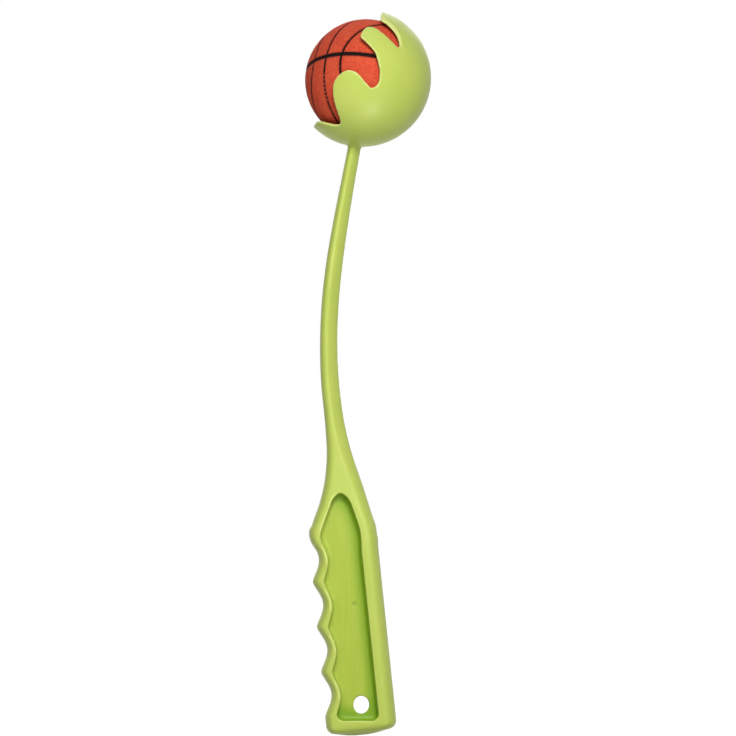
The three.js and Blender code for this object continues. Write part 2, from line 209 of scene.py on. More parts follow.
MOUTH = Vector((math.cos(MOUTH_ANGLE), 0, math.sin(MOUTH_ANGLE)))
TOP_FINGER = Vector((MOUTH.z, 0, -MOUTH.x))
NEAR = Vector((0, -1, 0))
BALL_CENTRE = Vector((SHAFT_BOW * ARM_SHARES[-1][1], 0, SHAFT_REACH * ARM_SHARES[-1][0]))
CUP_CENTRE = BALL_CENTRE + MOUTH * CUP_SLACK
BALL_FRAME = (
    Matrix.Rotation(BALL_TURN, 3, "Z")
    @ Matrix.Rotation(BALL_TIP, 3, "Y")
    @ Matrix.Rotation(BALL_ROLL, 3, "X")
)

# Fineness of the surfaces: lattice of the moulding and of the cover, and passes of smoothing
PLASTIC_LATTICE = 0.5
PLASTIC_SMOOTHING = 8
COVER_LATTICE = 0.4
COVER_SMOOTHING = 4
SMOOTHING_FACTOR = 0.5
BEND_SMOOTHING = 2

# Steps of the shapes: segments of the round ones, then steps of the arm, gaps and pockets
SPHERE_SEGMENTS = 160
INNER_SEGMENTS = 96
CORE_SEGMENTS = 64
OVAL_SEGMENTS = 180
HOLE_SEGMENTS = 96
MARK_SEGMENTS = 32
STITCH_SEGMENTS = 10
STITCH_HALF_STEPS = 4
TABLE_STEPS = 60
CURVE_STEPS = 6
SIDE_STEPS = 20
BUTT_STEPS = 12
FLARE_STEPS = 8
ARM_STEP = 0.7
CORNER_STEPS = 8
WALL_STEPS = 110
TOP_STEPS = 16
LIP_STEPS = 4
COVE_STEPS = 8

# Painted shade between the pocket's walls, deepest where walls stand close and by the palm side:
# reach, and how much less the finger side counts
ENCLOSED_REACH = 7
FINGER_WALL_SHARE = 0.7

# Mark that the moulding tool left on the near web
MARK_RADIUS = 1.3
MARK_DEPTH = 0.7
MARK_PLACE = 0.9
MARK_HEIGHT = 11.6

# Colours as linear red, green and blue; a pair is the darkest and the lightest of a mottle
PLASTIC = ((0.508, 0.618, 0.106), (0.548, 0.654, 0.124))
# Pocket floors: darker streaky green, painted shade standing in for the shade of the rims
POCKET_PLASTIC_PAINTED_SHADE = ((0.405, 0.515, 0.050), (0.445, 0.555, 0.062))
# Deep green painted as shade in pocket corners and on walls facing away from the light
PAINTED_POCKET_SHADE = (0.200, 0.380, 0.012)
# Painted highlight on rounded edges
ROUNDED_EDGE_HIGHLIGHT = (0.680, 0.770, 0.200)
# Painted highlight on the fingers' cut edges
CUT_EDGE_HIGHLIGHT = (0.720, 0.770, 0.250)
MARK = (0.260, 0.330, 0.040)
COVER = ((0.60, 0.058, 0.025), (0.79, 0.102, 0.042))
COVER_PATCH = (0.79, 0.132, 0.052)
COVER_BY_SEAM = (0.20, 0.014, 0.008)
INK = (0.014, 0.006, 0.005)
RUBBER = ((0.008, 0.005, 0.004), (0.018, 0.011, 0.009))
THREAD = ((0.20, 0.022, 0.012), (0.42, 0.050, 0.026))
WHITE = (1, 1, 1, 1)
FLOOR_GREY = (0.55, 0.55, 0.55, 1)

# Framing of the photograph: its side and the place of the frame's origin in it, in pixels
PICTURE_SIDE = 736
PIXELS_PER_MM = 1.89
ORIGIN_ACROSS = 352.3
ORIGIN_DOWN = 626
SENSOR_WIDTH = 36
LENS_DISTANCE = 10
CLIP_END = 50

# Stage in metres, and how bright the lens and the reflections see it
FLOOR_SIDE = 16
FLOOR_THICKNESS = 0.02
FLOOR_GAP = 0.0005
FLOOR_GLOW = 0.93
SURROUND_GLOW = 0.92
SURROUND_LIGHT = 0.08


def mesh_object(name, points, faces):
    """Object from points in millimetres, its faces turned outwards."""
    mesh = bpy.data.meshes.new(name)
    mesh.from_pydata([tuple(point) for point in points], [], [tuple(face) for face in faces])
    shape = bmesh.new()
    shape.from_mesh(mesh)
    bmesh.ops.remove_doubles(shape, verts=shape.verts, dist=WELD)
    bmesh.ops.recalc_face_normals(shape, faces=shape.faces)
    if shape.calc_volume(signed=True) < 0:
        bmesh.ops.reverse_faces(shape, faces=shape.faces)
    shape.to_mesh(mesh)
    shape.free()
    thing = bpy.data.objects.new(name, mesh)
    bpy.context.scene.collection.objects.link(thing)
    return thing


def settle(thing):
    """Apply every modifier of an object to its mesh."""
    graph = bpy.context.evaluated_depsgraph_get()
    mesh = bpy.data.meshes.new_from_object(thing.evaluated_get(graph))
    thing.modifiers.clear()
    old = thing.data
    thing.data = mesh
    bpy.data.meshes.remove(old)


def combine(thing, other, operation):
    """Join, cut or intersect a solid with another, which stays as it is."""
    step = thing.modifiers.new(operation, "BOOLEAN")
    step.operation = operation
    step.solver = "MANIFOLD"
    step.object = other
    settle(thing)


def drop(thing):
    """Remove a cutter."""
    mesh = thing.data
    bpy.data.objects.remove(thing)
    bpy.data.meshes.remove(mesh)


def cut(thing, *cutters):
    """Subtract solids and remove them."""
    for cutter in cutters:
        combine(thing, cutter, "DIFFERENCE")
        drop(cutter)


def shade_smooth(thing):
    """Shade every face of a mesh smooth."""
    thing.data.polygons.foreach_set("use_smooth", [True] * len(thing.data.polygons))


def soften(thing, lattice, passes):
    """Remesh a solid evenly and round its edges a little, then bring it to metres."""
    remesh = thing.modifiers.new("even", "REMESH")
    remesh.mode = "VOXEL"
    remesh.voxel_size = lattice
    settle(thing)
    smooth = thing.modifiers.new("round", "SMOOTH")
    smooth.factor = SMOOTHING_FACTOR
    smooth.iterations = passes
    settle(thing)
    thing.data.transform(Matrix.Scale(MM, 4))
    shade_smooth(thing)
    thing.data.update()


def points_of(thing):
    """Points of a mesh in millimetres."""
    points = np.empty(len(thing.data.vertices) * 3, np.float32)
    thing.data.vertices.foreach_get("co", points)
    return points.reshape(-1, 3).astype(float) / MM


def normals_of(thing):
    """Directions in which a mesh faces at its points."""
    normals = np.empty(len(thing.data.vertices) * 3, np.float32)
    thing.data.vertex_normals.foreach_get("vector", normals)
    return normals.reshape(-1, 3)


def note(thing, name, values):
    """Keep a number for each point of a mesh, for its material to read."""
    attribute = thing.data.attributes.new(name, "FLOAT", "POINT")
    attribute.data.foreach_set("value", np.asarray(values, np.float32))


def note_bend(thing, lattice):
    """Note how sharply the surface bends at each point: above 0 on edges, below 0 in coves; edges get
    a painted highlight.
    """
    mesh = thing.data
    count = len(mesh.vertices)
    points = points_of(thing)
    pairs = np.empty(len(mesh.edges) * 2, np.int32)
    mesh.edges.foreach_get("vertices", pairs)
    first, second = pairs.reshape(-1, 2).T
    neighbours = np.bincount(np.concatenate([first, second]), minlength=count)[:, None]

    def around(values):
        total = np.zeros_like(values)
        np.add.at(total, first, values[second])
        np.add.at(total, second, values[first])
        return total / neighbours

    bend = ((points - around(points)) * normals_of(thing)).sum(1, keepdims=True) / lattice
    for _ in range(BEND_SMOOTHING):
        bend = (bend + around(bend)) / 2
    note(thing, "bend", bend[:, 0])


def smoothstep(value, low, high):
    """Smooth ramp from 0 at low to 1 at high."""
    share = min(max((value - low) / (high - low), 0), 1)
    return share * share * (3 - 2 * share)


def lerp(low, high, share):
    """Value at a share of the way from low to high."""
    return low + (high - low) * share


def between(start, end, leave, arrive, share):
    """Value at a share of the smooth way from start to end, with its slopes at both."""
    return (
        start
        + leave * share
        + (3 * (end - start) - 2 * leave - arrive) * share**2
        + (2 * (start - end) + leave + arrive) * share**3
    )


def arm_table():
    """Dense heights, sideways places and widths along the throat and the shaft."""
    rows = np.array(ARM_SHARES) * (SHAFT_REACH, SHAFT_BOW, HANDLE_WIDTH)
    rows = np.vstack([2 * rows[0] - rows[1], rows, 2 * rows[-1] - rows[-2]])
    table = []
    for before, start, end, after in zip(rows, rows[1:], rows[2:], rows[3:]):
        gap_0 = np.linalg.norm(start - before) ** 0.5
        gap_1 = np.linalg.norm(end - start) ** 0.5
        gap_2 = np.linalg.norm(after - end) ** 0.5
        leave = (start - before) / gap_0 - (end - before) / (gap_0 + gap_1) + (end - start) / gap_1
        arrive = (end - start) / gap_1 - (after - start) / (gap_1 + gap_2) + (after - end) / gap_2
        leave = leave * gap_1
        arrive = arrive * gap_1
        for share in np.arange(TABLE_STEPS) / TABLE_STEPS:
            table.append(between(start, end, leave, arrive, share))
    table.append(rows[-2])
    return np.array(table)


ARM_TABLE = arm_table()
ARM_SLOPES = np.gradient(ARM_TABLE[:, 1], ARM_TABLE[:, 0])


def arm_at(height):
    """Sideways place, slope and width of the arm at a height."""
    grip_end, grip_end_place, grip_end_width = ARM_TABLE[0]
    if height <= grip_end:
        slope = -math.tan(GRIP_LEAN)
        share = (height + BUTT_DROP) / (grip_end + BUTT_DROP)
        width = lerp(HANDLE_WIDTH, grip_end_width, share)
        return grip_end_place + slope * (height - grip_end), slope, width
    place = np.interp(height, ARM_TABLE[:, 0], ARM_TABLE[:, 1])
    slope = np.interp(height, ARM_TABLE[:, 0], ARM_SLOPES)
    width = np.interp(height, ARM_TABLE[:, 0], ARM_TABLE[:, 2])
    return place, slope, width


def arm_depth(height):
    """Depth of the arm at a height."""
    throat_end = THROAT_END_SHARE * SHAFT_REACH
    shaft = lerp(SHAFT_DEPTH, NECK_DEPTH, smoothstep(height, throat_end, SHAFT_REACH))
    return lerp(HANDLE_DEPTH, shaft, smoothstep(height, GRIP_TOP, throat_end))


def palm_fullness(height):
    """How full the palm side is at a height: less than an oval is flatter and steeper."""
    share = smoothstep(height, GRIP_TOP, THROAT_END_SHARE * SHAFT_REACH)
    return lerp(GRIP_FULLNESS, SHAFT_FULLNESS, share)


# Heights of the crests between the grooves, from the top one down
CRESTS = [GRIP_TOP - GROOVE_PITCH * k for k in range(GROOVE_COUNT + 1)]


def groove_cut(height):
    """How deep the grooves cut into the finger side at a height."""
    for upper, lower in zip(CRESTS, CRESTS[1:]):
        if lower < height < upper:
            along = (upper - height) / (upper - lower)
            wave = math.sin(math.pi * along)
            return GROOVE_DEPTH * max(wave, 0) ** GROOVE_SHARPNESS_SHARE
    return 0


def arm_ring(height, inset, depth_inset):
    """One section of the arm, square to its middle line: flat front, oval finger and palm sides."""
    place, slope, width = arm_at(height)
    tilt = math.hypot(1, slope)
    left = -width / 2 + inset + groove_cut(height)
    right = width / 2 - inset
    half_depth = arm_depth(height) / 2 - depth_inset
    finger_round = min(FINGER_ROUND, FINGER_ROUND_SHARE * (right - left))
    back_round = min(BACK_ROUND, right - left - finger_round - FRONT_STRIP)
    ring = []
    for side, across, radius, fullness in (
        (1, right - back_round, back_round, palm_fullness(height)),
        (-1, left + finger_round, finger_round, OVAL_FULLNESS),
    ):
        for step in range(SIDE_STEPS + 1):
            angle = (step / SIDE_STEPS - 0.5) * math.pi
            sideways = across + side * radius * max(math.cos(angle), 0) ** (2 / fullness)
            rise = math.copysign(abs(math.sin(angle)) ** (2 / fullness), angle)
            ring.append((
                place + sideways / tilt,
                side * half_depth * rise,
                height - slope * sideways / tilt,
            ))
    return ring


def round_inset(radius, distance):
    """Inset of a quarter round at a distance from its end."""
    rest = max(radius - distance, 0)
    return radius - math.sqrt(max(radius * radius - rest * rest, 0))


def ring_faces(ring_count, count):
    """Quads between rings of as many points each."""
    faces = []
    for low in range(0, (ring_count - 1) * count, count):
        high = low + count
        for j in range(count):
            following = (j + 1) % count
            faces.append((low + j, low + following, high + following, high + j))
    return faces


def closed_rings(ring_count, count):
    """Quads between rings of as many points each, and the faces that close both ends."""
    last = (ring_count - 1) * count
    faces = ring_faces(ring_count, count)
    faces.append(tuple(reversed(range(count))))
    faces.append(tuple(range(last, last + count)))
    return faces


def arm():
    """The whole arm as one loft, from the butt to just inside the cup's wall."""
    butt = -BUTT_DROP
    middle = np.array((arm_at(butt)[0], 0, butt))
    rings = []
    for share in CROWN_SHARES:
        end_ring = np.array(arm_ring(butt, BUTT_RADIUS, BUTT_EDGE_RADIUS))
        drop_down = BUTT_CROWN * (1 - share * share)
        rings.append(middle + (end_ring - middle) * share - (0, 0, drop_down))
    for i in range(BUTT_STEPS + 1):
        distance = BUTT_RADIUS * (1 - math.cos(i / BUTT_STEPS * math.pi / 2))
        rings.append(
            arm_ring(
                butt + distance,
                round_inset(BUTT_RADIUS, distance),
                round_inset(BUTT_EDGE_RADIUS, min(distance, BUTT_EDGE_RADIUS)),
            )
        )
    neck = arm_at(CUP_CENTRE.z - CUP_OUTER_RADIUS)
    buried = abs(neck[0] - CUP_CENTRE.x) + neck[2] / 2 + ROOT_FILLET
    root = CUP_CENTRE.z - math.sqrt(CUP_OUTER_RADIUS**2 - buried**2)
    shaft_end = root - ROOT_FILLET
    for height in np.arange(butt + BUTT_RADIUS + ARM_STEP, shaft_end, ARM_STEP):
        rings.append(arm_ring(height, 0, 0))
    for i in range(FLARE_STEPS + 1):
        distance = ROOT_FILLET * math.sin(i / FLARE_STEPS * math.pi / 2)
        flare = round_inset(ROOT_FILLET, ROOT_FILLET - distance)
        rings.append(arm_ring(shaft_end + distance, -flare, -flare))
    inside = root + CUP_WALL + ROOT_FILLET
    rings.append(arm_ring(inside, -ROOT_FILLET, -ROOT_FILLET))
    count = len(rings[0])
    points = [tuple(point) for ring in rings for point in ring]
    return mesh_object("arm", points, closed_rings(len(rings), count))


def shaped_object(name, shape, *moves):
    """Object from an editable shape, moved by each matrix in turn."""
    mesh = bpy.data.meshes.new(name)
    shape.to_mesh(mesh)
    shape.free()
    for move in moves:
        mesh.transform(move)
    thing = bpy.data.objects.new(name, mesh)
    bpy.context.scene.collection.objects.link(thing)
    return thing


def sphere(name, radius, centre, segments=SPHERE_SEGMENTS):
    """Fine ball-shaped solid."""
    shape = bmesh.new()
    bmesh.ops.create_uvsphere(
        shape, u_segments=segments, v_segments=segments // 2, radius=radius
    )
    return shaped_object(name, shape, Matrix.Translation(centre))


def block(name, size, turn, centre):
    """Cube-shaped solid."""
    shape = bmesh.new()
    bmesh.ops.create_cube(shape, size=size)
    return shaped_object(name, shape, turn.to_4x4(), Matrix.Translation(centre))


def curve_through(points):
    """Smooth plane curve through points."""
    points = np.array(points)
    last = len(points) - 1
    curve = []
    for i in range(last):
        before = points[max(i - 1, 0)]
        start = points[i]
        end = points[i + 1]
        after = points[min(i + 2, last)]
        leave = (end - before) / 2
        arrive = (after - start) / 2
        for share in np.arange(CURVE_STEPS) / CURVE_STEPS:
            curve.append(between(start, end, leave, arrive, share))
    curve.append(points[last])
    return curve


def cup_direction(turn_share, height_share):
    """Direction from the middle of the cup to a point of its outline."""
    turn = turn_share * math.pi
    across = math.sqrt(1 - height_share * height_share)
    return (
        MOUTH * height_share
        + TOP_FINGER * (across * math.cos(turn))
        + NEAR * (across * math.sin(turn))
    )


def gap_cutter(shares, side):
    """Cone-shaped cutter of one gap between two fingers; side -1 is the far side."""
    outline = [tuple(pair) for pair in curve_through(shares)]
    outline.append((shares[-1][0] + GAP_SPREAD_SHARE, GAP_TOP_SHARE))
    outline.append((shares[0][0] - GAP_SPREAD_SHARE, GAP_TOP_SHARE))
    points = []
    for turn_share, height_share in outline:
        point = cup_direction(turn_share, height_share) * (GAP_REACH_SHARE * CUP_OUTER_RADIUS)
        point.y *= side
        points.append(point + CUP_CENTRE)
    count = len(points)
    points.append(CUP_CENTRE)
    faces = [tuple(face) for face in tessellate_polygon(
        [[Vector((u, v, 0)) for u, v in outline]])]
    faces += [(count, (i + 1) % count, i) for i in range(count)]
    return mesh_object("gap", points, faces)


def flat_cutter(side):
    """Cutter of the flat along the top finger's inner edge; side -1 is the far side."""
    path = curve_through([FLAT_HEAD, *FLAT_EDGE, FLAT_TAIL])
    directions = [cup_direction(*pair) for pair in path]
    last = len(path) - 1
    points = []
    for i, outward in enumerate(directions):
        along = directions[min(i + 1, last)] - directions[max(i - 1, 0)]
        across = outward.cross(along).normalized()
        fade = max(1 - i / last, FLAT_END_SHARE) ** FLAT_TAPER
        edge = outward * (CUP_OUTER_RADIUS - FLAT_DEPTH * fade)
        skin = (outward * CUP_OUTER_RADIUS + across * (FLAT_WIDTH * fade)).normalized()
        past = edge + (skin * CUP_OUTER_RADIUS - edge) * FLAT_OVERRUN_SHARE
        for point in (edge, past, past * FLAT_RISE_SHARE, edge * FLAT_RISE_SHARE):
            points.append((point.x + CUP_CENTRE.x, side * point.y, point.z + CUP_CENTRE.z))
    return mesh_object("flat", points, closed_rings(len(path), 4))


def pocket_outline():
    """Outline of a pocket at the face: up the back, round the top and down the grooves."""
    floor_height = BUTT_RIM - BUTT_DROP
    corner_height = floor_height + POCKET_CORNER_RADIUS
    arc_height = POCKET_TOP - POCKET_TOP_RADIUS

    def sides_at(height):
        place, slope, width = arm_at(height)
        half_width = width / 2 * math.hypot(1, slope)
        corner_inset = round_inset(POCKET_CORNER_RADIUS, height - floor_height)
        left = place - half_width + FINGER_RIM + corner_inset
        left += POCKET_GROOVE_SHARE * groove_cut(height - slope * half_width)
        right = place + half_width - BACK_RIM - corner_inset
        rise = max(height - arc_height, 0) / POCKET_TOP_RADIUS
        half_gap = (right - left) / 2 * math.sqrt(max(1 - rise * rise, 0))
        return (left + right) / 2 - half_gap, (left + right) / 2 + half_gap

    corner_turns = [i / CORNER_STEPS * math.pi / 2 for i in range(CORNER_STEPS)]
    top_turns = [i / TOP_STEPS * math.pi / 2 for i in range(TOP_STEPS)]
    heights = [corner_height - POCKET_CORNER_RADIUS * math.cos(turn) for turn in corner_turns]
    heights += list(np.linspace(corner_height, arc_height, WALL_STEPS, endpoint=False))
    heights += [arc_height + POCKET_TOP_RADIUS * math.sin(turn) for turn in top_turns]
    right = [(sides_at(height)[1], height) for height in heights]
    left = [(sides_at(height)[0], height) for height in heights]
    top = (sides_at(POCKET_TOP)[0], POCKET_TOP)
    return right + [top] + left[::-1]


def pocket_cutter(side):
    """Cutter of one pocket: rounded lip, drafted wall and cove down to the web.

    The wall at the palm side and the top leans out further than at the fingers and the butt.
    """
    outline = np.array(pocket_outline())
    count = len(outline)
    along = np.roll(outline, -1, axis=0) - np.roll(outline, 1, axis=0)
    along /= np.linalg.norm(along, axis=1)[:, None]
    inward = np.column_stack([-along[:, 1], along[:, 0]])
    towards_back = np.array((math.cos(POCKET_BACK_ANGLE), math.sin(POCKET_BACK_ANGLE)))
    facing = np.clip(-inward @ towards_back, 0, 1)
    draft = math.tan(POCKET_DRAFT) + facing * (math.tan(POCKET_BACK_DRAFT) - math.tan(POCKET_DRAFT))
    face = HANDLE_DEPTH / 2
    floor = WEB_THICKNESS / 2
    levels = [(face + OVERRUN, -POCKET_LIP, 0), (face, -POCKET_LIP, 0)]
    for i in range(1, LIP_STEPS + 1):
        angle = i / LIP_STEPS * math.pi / 2
        levels.append((
            face - POCKET_LIP * (1 - math.cos(angle)),
            -POCKET_LIP * (1 - math.sin(angle)),
            0,
        ))
    drafted = face - floor - POCKET_LIP - POCKET_COVE
    for i in range(COVE_STEPS + 1):
        angle = i / COVE_STEPS * math.pi / 2
        levels.append((
            floor + POCKET_COVE * (1 - math.sin(angle)),
            POCKET_COVE * (1 - math.cos(angle)),
            drafted,
        ))
    points = []
    for y, inset, deep in levels:
        ring = outline + inward * (inset + deep * draft)[:, None]
        points += [(x, side * y, z) for x, z in ring]
    faces = ring_faces(len(levels), count)
    floor_ring = (len(levels) - 1) * count
    tip = (count - 1) // 2
    for right in range(tip):
        left = count - 1 - right
        corners = [right, right + 1, left - 1, left]
        if right + 1 == tip:
            corners = [right, right + 1, left]
        faces.append([floor_ring + corner for corner in corners])
        faces.append(list(reversed(corners)))
    return mesh_object("pocket", points, faces)


def oval_cutter(name, place, height, half_width, half_length, levels, segments):
    """Oval cutter square to the mid-plane, from one level of y to another."""
    points = []
    for y in levels:
        for i in range(segments):
            angle = i / segments * 2 * math.pi
            points.append((
                place + half_width * math.cos(angle),
                y,
                height + half_length * math.sin(angle),
            ))
    return mesh_object(name, points, closed_rings(len(levels), segments))


def hole_cutter():
    """Oval cutter of the hanging hole."""
    height = HOLE_HEIGHT - BUTT_DROP
    place = arm_at(height)[0] + HOLE_OFFSET
    past = WEB_THICKNESS + OVERRUN
    return oval_cutter(
        "hole", place, height, HOLE_WIDTH / 2, HOLE_LENGTH / 2, (-past, past), HOLE_SEGMENTS)


def mark_cutter():
    """Shallow round cutter of the mark on the near web."""
    face = -WEB_THICKNESS / 2
    levels = (face + MARK_DEPTH, face - MARK_DEPTH)
    return oval_cutter(
        "mark", MARK_PLACE, MARK_HEIGHT, MARK_RADIUS, MARK_RADIUS, levels, MARK_SEGMENTS)


def note_rim(thing):
    """Note how far inside the cup's wall each point of a cut edge lies, in millimetres, for a painted
    highlight on the cut edges.
    """
    radius = np.linalg.norm(points_of(thing) - np.array(CUP_CENTRE), axis=1)
    note(thing, "rim", np.minimum(CUP_OUTER_RADIUS - radius, radius - CUP_INNER_RADIUS).clip(0))


def note_pocket(thing):
    """Note where each point lies in the pockets, with distances in millimetres, as masks for painted
    pocket shade and the mark.

    "wall" is the distance inside the outline, "enclosed" is how much wall stands near, "steep" is
    1 on an upright wall and "mark" is the distance inside the moulding mark.
    """
    points = points_of(thing)
    flat = points[:, [0, 2]]
    steepness = 1 - np.abs(normals_of(thing)[:, 1])
    outline = np.array(pocket_outline())
    following = np.roll(outline, -1, axis=0)
    step = following - outline
    length = np.hypot(*step.T)
    rise = np.where(step[:, 1] == 0, 1, step[:, 1])
    # The finger-side wall counts less: painted shade is deeper by the palm-side wall, which faces
    # away from the light
    counted = 1 - FINGER_WALL_SHARE * np.clip(-step[:, 1] / np.maximum(length, TINY), 0, 1)
    wall = np.zeros(len(points))
    enclosed = np.zeros(len(points))
    steep = np.zeros(len(points))
    below_lip = np.abs(points[:, 1]) < HANDLE_DEPTH / 2 - POCKET_LIP
    in_reach = below_lip & ((flat > outline.min(0)) & (flat < outline.max(0))).all(1)
    for i in np.flatnonzero(in_reach):
        away = flat[i] - outline
        share = np.clip((away * step).sum(1) / np.maximum((step * step).sum(1), TINY), 0, 1)
        gaps = np.hypot(*(away - step * share[:, None]).T)
        crossing = (outline[:, 1] > flat[i, 1]) != (following[:, 1] > flat[i, 1])
        reach = outline[:, 0] + (flat[i, 1] - outline[:, 1]) * step[:, 0] / rise
        if np.count_nonzero(crossing & (flat[i, 0] < reach)) % 2:
            wall[i] = gaps.min()
            enclosed[i] = (counted * length * np.exp(-((gaps / ENCLOSED_REACH) ** 2))).sum()
            steep[i] = steepness[i] * counted[gaps.argmin()]
    note(thing, "wall", wall)
    note(thing, "enclosed", enclosed)
    note(thing, "steep", steep)
    from_mark = np.hypot(flat[:, 0] - MARK_PLACE, flat[:, 1] - MARK_HEIGHT)
    note(thing, "mark", np.where(points[:, 1] < 0, MARK_RADIUS - from_mark, -MARK_RADIUS))


def make_thrower():
    """The moulding: cup and arm joined, then the hollow, gaps, flats, pockets, hole and mark cut."""
    body = sphere("thrower_skin", CUP_OUTER_RADIUS, CUP_CENTRE)
    shaft = arm()
    combine(body, shaft, "UNION")
    drop(shaft)
    cut(body, sphere("hollow", CUP_INNER_RADIUS, CUP_CENTRE))
    size = 4 * CUP_OUTER_RADIUS
    turn = Vector((0, 0, 1)).rotation_difference(MOUTH).to_matrix()
    centre = CUP_CENTRE + MOUTH * (TIP_SHARE * CUP_OUTER_RADIUS + size / 2)
    cut(body, block("mouth", size, turn, centre))
    for shares in GAP_SHARES:
        cut(body, gap_cutter(shares, 1), gap_cutter(shares, -1))
    cut(body, flat_cutter(1), flat_cutter(-1))
    cut(body, pocket_cutter(1), pocket_cutter(-1), hole_cutter(), mark_cutter())
    soften(body, PLASTIC_LATTICE, PLASTIC_SMOOTHING)
    note_bend(body, PLASTIC_LATTICE)
    note_pocket(body)
    note_rim(body)
    return body


def half_space(normal, distance):
    """Block past a plane through the ball."""
    size = 4 * BALL_RADIUS
    turn = Vector((0, 0, 1)).rotation_difference(normal).to_matrix()
    return block("half", size, turn, normal * (distance + size / 2))


def oval_cone(side, shift):
    """Oval cone round a side of the ball, its point moved along its axis."""
    length = 2 * BALL_RADIUS
    points = [(side * shift, 0, 0)]
    for i in range(OVAL_SEGMENTS):
        angle = i / OVAL_SEGMENTS * 2 * math.pi
        points.append((
            side * (shift + length),
            length * math.tan(OVAL_LONG_ANGLE) * math.cos(angle),
            length * math.tan(OVAL_SHORT_ANGLE) * math.sin(angle),
        ))
    faces = [(0, 1 + i, 1 + (i + 1) % OVAL_SEGMENTS) for i in range(OVAL_SEGMENTS)]
    faces.append(tuple(range(OVAL_SEGMENTS, 0, -1)))
    return mesh_object("oval", points, faces)


def copy_of(thing, name):
    """Separate copy of a solid."""
    twin = bpy.data.objects.new(name, thing.data.copy())
    bpy.context.scene.collection.objects.link(twin)
    return twin


def intersect(thing, *others):
    """Keep what a solid shares with each of the others, which are removed."""
    for other in others:
        combine(thing, other, "INTERSECT")
        drop(other)


def place_on_ball(thing):
    """Turn a piece as the ball lies and move it to the ball's place, in metres."""
    thing.data.transform(BALL_FRAME.to_4x4())
    thing.data.transform(Matrix.Translation(BALL_CENTRE * MM))


def seam_distance(points):
    """Distance of points of the ball, in millimetres, from the inked edge of the nearest seam."""
    lean = np.array((math.sin(EQUATOR_LEAN), 0, math.cos(EQUATOR_LEAN)))
    wide = np.abs(points @ lean) - WIDE_SEAM / 2 - WIDE_INK
    x, y, z = points.T
    tan_long, tan_short = math.tan(OVAL_LONG_ANGLE), math.tan(OVAL_SHORT_ANGLE)
    across = np.hypot(y / tan_long, z / tan_short)
    steep = np.sqrt(1 + ((y / tan_long**2) ** 2 + (z / tan_short**2) ** 2) / across**2)
    oval = np.abs(across - np.abs(x)) / steep
    fine = np.minimum(oval, np.abs(x)) - FINE_SEAM / 2
    return np.minimum(wide, fine)


def note_seam(panel):
    """Note the distance from the nearest seam at each point of a cover panel, before it is placed."""
    note(panel, "seam", seam_distance(points_of(panel)))


def make_stitches():
    """Thread loops over the stretch of the middle seam that was sewn shut last."""
    shape = bmesh.new()
    across = Vector((1, 0, 0))
    for k in range(STITCH_COUNT):
        angle = STITCH_START + k * STITCH_PITCH / BALL_RADIUS
        out = Vector((0, -math.cos(angle), math.sin(angle)))
        along = Vector((0, math.sin(angle), math.cos(angle)))
        loops = []
        for i in range(2 * STITCH_HALF_STEPS + 1):
            share = i / STITCH_HALF_STEPS - 1
            middle = out * (BALL_RADIUS - STITCH_SINK - STITCH_DIP * share**4)
            middle += across * (share * STITCH_REACH)
            radius = STITCH_RADIUS * math.sqrt(max(1 - share**6, STITCH_END_SHARE))
            loop = []
            for j in range(STITCH_SEGMENTS):
                turn = j / STITCH_SEGMENTS * 2 * math.pi
                point = middle + along * (radius * math.cos(turn))
                point += out * (STITCH_FLATNESS * radius * math.sin(turn))
                loop.append(shape.verts.new(point))
            loops.append(loop)
        for low, high in zip(loops, loops[1:]):
            for j in range(STITCH_SEGMENTS):
                following = (j + 1) % STITCH_SEGMENTS
                shape.faces.new((low[j], low[following], high[following], high[j]))
        shape.faces.new(loops[0][::-1])
        shape.faces.new(loops[-1])
    bmesh.ops.recalc_face_normals(shape, faces=shape.faces)
    stitches = shaped_object("seam_stitches", shape, Matrix.Scale(MM, 4))
    shade_smooth(stitches)
    place_on_ball(stitches)
    return stitches


def finish_rubber(thing):
    """Bring a rubber piece to metres, shade it smooth between its sharp edges and place it."""
    thing.data.transform(Matrix.Scale(MM, 4))
    shade_smooth(thing)
    thing.data.set_sharp_from_angle(angle=RUBBER_CREASE)
    place_on_ball(thing)


